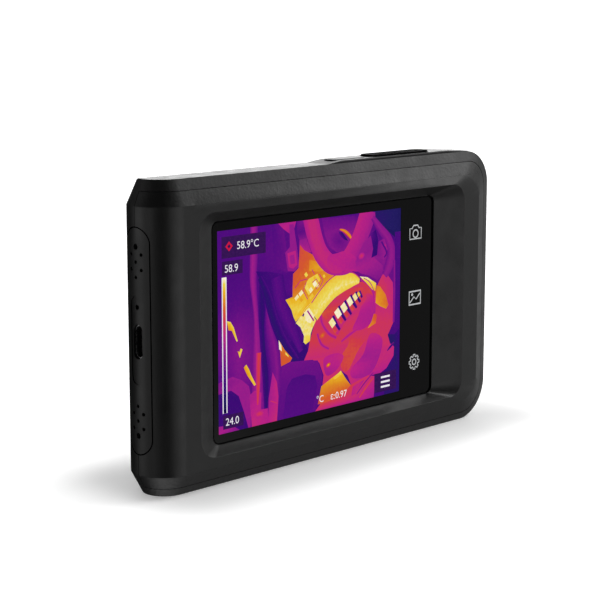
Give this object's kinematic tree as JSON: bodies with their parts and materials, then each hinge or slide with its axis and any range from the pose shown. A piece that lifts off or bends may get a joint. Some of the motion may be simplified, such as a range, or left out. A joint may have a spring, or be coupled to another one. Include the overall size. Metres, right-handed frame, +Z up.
{
  "type": "thermal imaging camera",
  "caption": "Pocket thermal imaging camera with a landscape screen in a deep bezel, top capture and power keys, side speaker and USB-C insert, and a rear infrared lens module.",
  "frame": {"origin": "middle of the resting face in plan: the centre of the bounding box at its lowest level, with the camera standing on its long lower edge", "axes": "+X along the case towards the end without the socket, +Y from the screen to the infrared lens, +Z up to the keys"},
  "size_m": [0.138, 0.0242, 0.0855],
  "materials": {
    "case_plastic": "fine matte moulded texture",
    "trim_plastic": "smooth satin moulding",
    "key_rubber": "ribbed, matte",
    "seal_rubber": "matte silicone",
    "cover_glass": "gloss, black printed border",
    "window_glass": "clear gloss",
    "germanium": "coated, dark mirror-like",
    "display_glass": "lit display",
    "white_plastic": "smooth",
    "adhesive": "foam tape",
    "black_aluminium": "black anodised",
    "steel": "bare sheet and wire",
    "brass": "machined",
    "circuit_board": "green solder resist",
    "chip_plastic": "moulded packages",
    "flex_film": "polyimide film",
    "battery_foil": "laminated pouch",
    "lamp_package": "phosphor",
    "label_film": "blank film"
  },
  "bodies": {
    "case": {"battery_connector": "chip_plastic", "battery_pack": "battery_foil", "battery_pad": "seal_rubber", "board_screws": "steel", "bracket_screws": "steel", "button_board": "circuit_board", "button_flex": "flex_film", "button_trim": "trim_plastic", "camera_board": "circuit_board", "camera_module": "chip_plastic", "camera_window": "window_glass", "core_screws": "steel", "cover_glass": "cover_glass", "display_backlight": "white_plastic", "display_bracket": "steel", "display_connector": "chip_plastic", "display_flex": "flex_film", "flex_connectors": "chip_plastic", "front_housing": "case_plastic", "front_lens": "germanium", "glass_adhesive": "adhesive", "housing_screws": "steel", "housing_seal": "seal_rubber", "infrared_sensor": "chip_plastic", "lamp_led": "lamp_package", "lamp_lens": "window_glass", "lcd_panel": "display_glass", "lens_barrel": "black_aluminium", "lens_bezel": "trim_plastic", "lens_ring": "black_aluminium", "lens_seal": "seal_rubber", "main_board": "circuit_board", "microphone": "chip_plastic", "power_shield": "steel", "processor": "chip_plastic", "processor_shield": "steel", "rating_label": "label_film", "rear_housing": "case_plastic", "rear_lens": "germanium", "sensor_board": "circuit_board", "sensor_window": "germanium", "shutter_frame": "black_aluminium", "shutter_motor": "steel", "side_gasket": "seal_rubber", "side_insert": "trim_plastic", "speaker_meshes": "steel", "speakers": "chip_plastic", "support_chips": "chip_plastic", "tact_switches": "chip_plastic", "thermal_flex": "flex_film", "thermal_pad": "seal_rubber", "tripod_insert": "brass", "usb_shell": "steel", "usb_tongue": "chip_plastic"},
    "capture_key": {"capture_button": "key_rubber", "capture_plunger": "chip_plastic"},
    "power_key": {"power_button": "trim_plastic", "power_plunger": "chip_plastic"},
    "shutter": {"shutter_flag": "black_aluminium", "shutter_shaft": "steel"}
  },
  "joints": [
    {"name": "capture_press", "type": "slide", "parent": "case", "child": "capture_key", "axis": [0, 0, -1], "range_m": [0, 0.0005], "stiffness_N_per_m": 2000},
    {"name": "power_press", "type": "slide", "parent": "case", "child": "power_key", "axis": [0, 0, -1], "range_m": [0, 0.00035], "stiffness_N_per_m": 2500},
    {"name": "shutter_swing", "type": "hinge", "parent": "case", "child": "shutter", "pos_m": [0.0435, 0.002, 0.0529], "axis": [0, -1, 0], "range_deg": [0, 54]}
  ]
}
